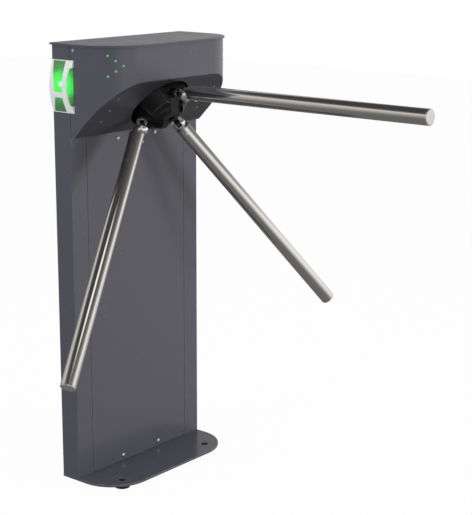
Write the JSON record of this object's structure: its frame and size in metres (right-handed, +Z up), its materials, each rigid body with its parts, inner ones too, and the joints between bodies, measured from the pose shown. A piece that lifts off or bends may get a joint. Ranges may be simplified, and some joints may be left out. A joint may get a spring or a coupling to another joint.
{
  "type": "tripod turnstile",
  "caption": "Waist-high tripod turnstile: slim column on a rounded base plate, head with a sloping underside, and a tilted hub whose drop arms gate a passage.",
  "frame": {"origin": "on the floor, in the middle of the four anchor holes of the base plate", "axes": "+Z up, +X across the passage side to side of the column (arm and light names call -X left), the arms reach out towards -Y"},
  "size_m": [0.9342, 0.8395, 1.0225],
  "materials": {
    "graphite_paint": "fine-textured graphite grey powder coat",
    "dark_paint": "dark grey powder coat on the sloping underside",
    "base_paint": "smooth semi-gloss graphite grey coat",
    "hub_black": "gloss black coat on a casting",
    "polished_steel": "polished stainless tube",
    "chrome_steel": "bright plated steel",
    "satin_cap": "satin turned aluminium",
    "stainless": "stainless screws",
    "zinc_steel": "zinc-plated steel",
    "black_steel": "black oxide steel",
    "bearing_steel": "ground bearing steel",
    "cast_alloy": "cast aluminium alloy",
    "rubber_black": "black rubber",
    "white_plastic": "white moulded plastic",
    "green_lens": "lit green translucent plastic",
    "green_led": "lit green light-emitting diode",
    "board_green": "circuit board",
    "black_plastic": "black moulded plastic",
    "sensor_brass": "threaded brass sensor barrel",
    "magnet_nickel": "nickel-plated magnet"
  },
  "bodies": {
    "base": {"base_plate": "base_paint", "foot_rings": "rubber_black", "cable_grommet": "rubber_black", "column_shell": "graphite_paint", "column_bolts": "zinc_steel", "front_panel": "graphite_paint", "panel_screws": "stainless", "head_cover": "graphite_paint", "cover_screws": "stainless", "underside_plate": "dark_paint", "underside_screws": "stainless", "top_lid": "graphite_paint", "lid_screws": "stainless", "bezel_left": "white_plastic", "lens_left": "green_lens", "light_board_left": "board_green", "bezel_right": "white_plastic", "lens_right": "green_lens", "light_board_right": "board_green", "arrow_lights_left": "green_led", "arrow_board_left": "board_green", "arrow_lights_right": "green_led", "arrow_board_right": "board_green", "mechanism_frame": "zinc_steel", "frame_bolts": "zinc_steel", "bearing_housing": "cast_alloy", "housing_bolts": "zinc_steel", "bearing_outer_rings": "bearing_steel", "index_post": "zinc_steel", "post_magnet": "magnet_nickel", "damper": "black_plastic", "position_sensors": "sensor_brass", "solenoid_left": "black_plastic", "solenoid_right": "black_plastic", "control_board": "board_green", "board_pillars": "zinc_steel", "power_supply": "cast_alloy"},
    "hub": {"bearing_inner_rings": "bearing_steel", "hub_shaft": "bearing_steel", "hub_body": "hub_black", "hub_bolt": "black_steel", "pivot_pins": "black_steel", "lock_wheel": "zinc_steel", "index_magnets": "magnet_nickel", "shaft_nut": "zinc_steel"},
    "lock_bolt_left": {"lock_bolt_left": "chrome_steel"},
    "lock_bolt_right": {"lock_bolt_right": "chrome_steel"},
    "arm_1": {"arm_1_knuckle": "chrome_steel", "arm_1_tube": "polished_steel", "arm_1_cap": "satin_cap", "arm_1_screw": "stainless"},
    "arm_2": {"arm_2_knuckle": "chrome_steel", "arm_2_tube": "polished_steel", "arm_2_cap": "satin_cap", "arm_2_screw": "stainless"},
    "arm_3": {"arm_3_knuckle": "chrome_steel", "arm_3_tube": "polished_steel", "arm_3_cap": "satin_cap", "arm_3_screw": "stainless"}
  },
  "joints": [
    {"name": "hub_turn", "type": "hinge", "parent": "base", "child": "hub", "pos_m": [0, -0.04664, 0.87964], "axis": [0, -0.7071, -0.7071], "continuous": true},
    {"name": "arm_1_drop", "type": "hinge", "parent": "hub", "child": "arm_1", "pos_m": [0, -0.11253, 0.90675], "axis": [1, 0, 0], "range_deg": [0, 90]},
    {"name": "arm_2_fold", "type": "hinge", "parent": "hub", "child": "arm_2", "pos_m": [0.05695, -0.04278, 0.837], "axis": [-0.5, 0.6124, -0.6124], "range_deg": [0, 45]},
    {"name": "arm_3_fold", "type": "hinge", "parent": "hub", "child": "arm_3", "pos_m": [-0.05695, -0.04278, 0.837], "axis": [-0.5, -0.6124, 0.6124], "range_deg": [0, 45]},
    {"name": "lock_left_slide", "type": "slide", "parent": "base", "child": "lock_bolt_left", "axis": [1, 0, 0], "range_m": [0, 0.008], "stiffness_N_per_m": 150, "springref_m": -0.004},
    {"name": "lock_right_slide", "type": "slide", "parent": "base", "child": "lock_bolt_right", "axis": [-1, 0, 0], "range_m": [0, 0.008], "stiffness_N_per_m": 150, "springref_m": -0.004}
  ]
}
